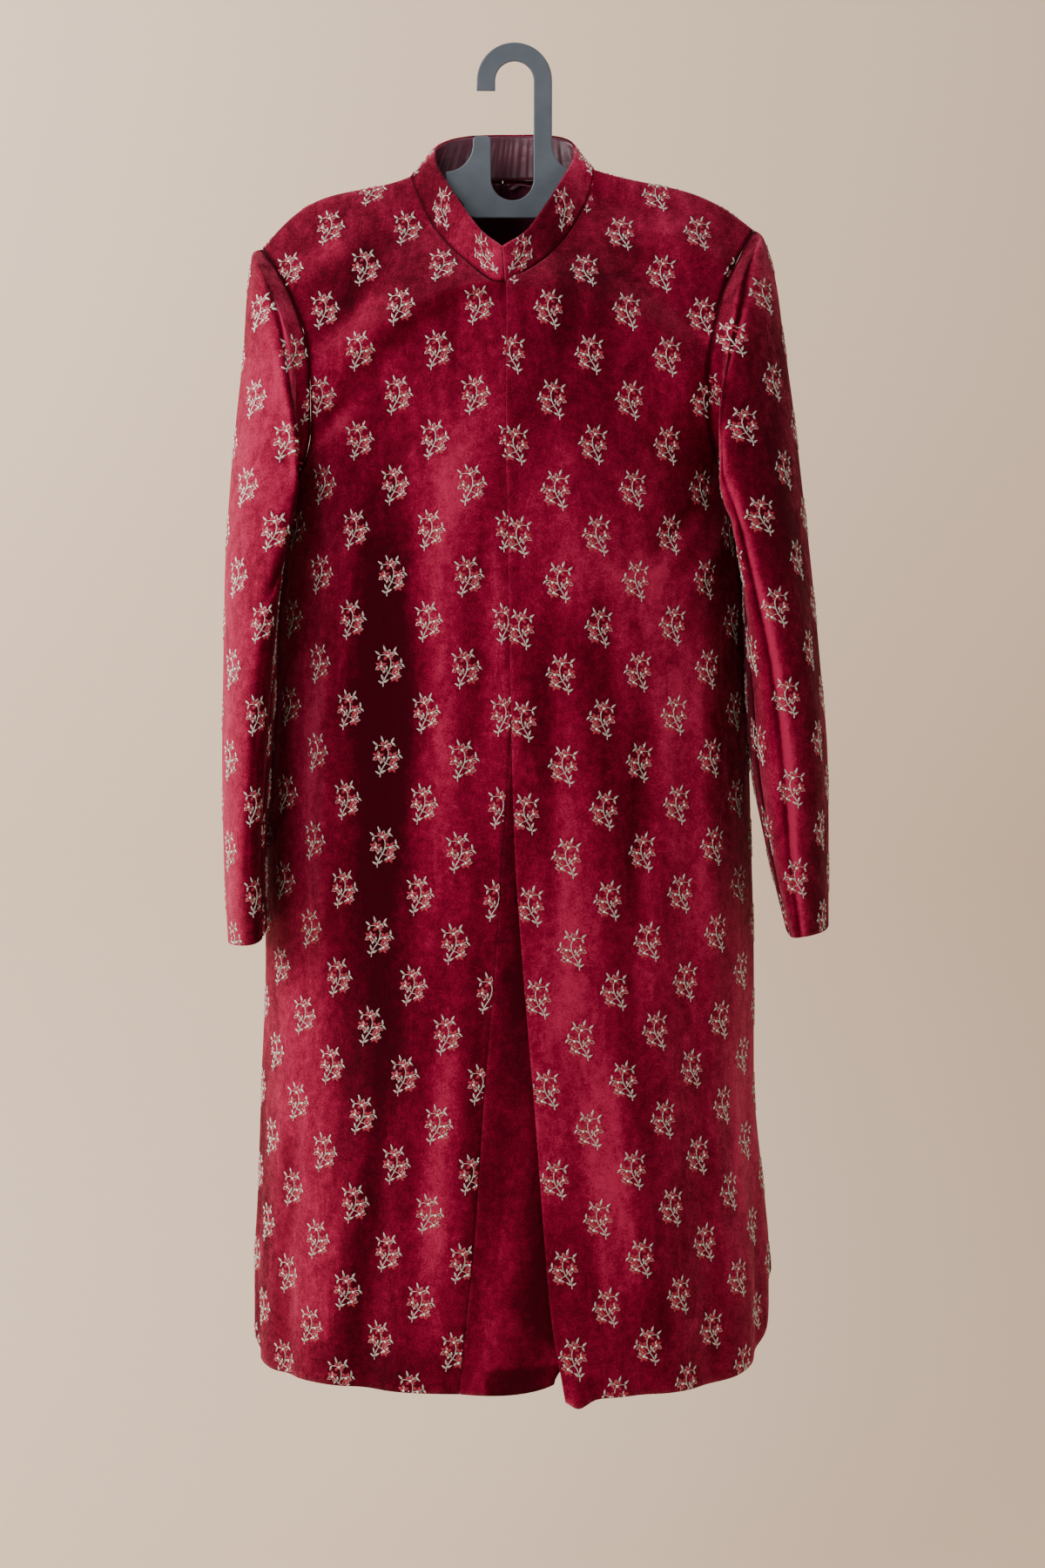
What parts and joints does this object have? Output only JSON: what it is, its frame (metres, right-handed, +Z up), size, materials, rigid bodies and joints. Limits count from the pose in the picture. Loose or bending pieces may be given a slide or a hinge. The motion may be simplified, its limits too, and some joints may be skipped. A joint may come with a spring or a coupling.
{
  "type": "sherwani coat on a hanger",
  "caption": "Long mandarin-collar coat of embroidered velvet with set-in sleeves and a split skirt, hung on a flat plastic hanger whose hook goes over a rod.",
  "frame": {"origin": "inner crown of the hanger's hook, where it rests on a rod", "axes": "+Z up, -Y the coat's front, +X to the right of someone who faces the coat"},
  "size_m": [0.5553, 0.298, 1.2231],
  "materials": {
    "crimson_velvet": "soft pile",
    "plum_satin": "satin",
    "slate_plastic": "satin"
  },
  "bodies": {
    "root": {"front_under": "crimson_velvet", "under_lap": "crimson_velvet", "front_over": "crimson_velvet", "back_left": "crimson_velvet", "back_right": "crimson_velvet", "sleeve_top_left": "crimson_velvet", "sleeve_under_left": "crimson_velvet", "sleeve_top_right": "crimson_velvet", "sleeve_under_right": "crimson_velvet", "collar": "crimson_velvet", "collar_lining": "plum_satin", "back_lining": "plum_satin", "hanger_plate": "slate_plastic", "hanger_arm_left": "slate_plastic", "hanger_arm_right": "slate_plastic"}
  },
  "joints": []
}
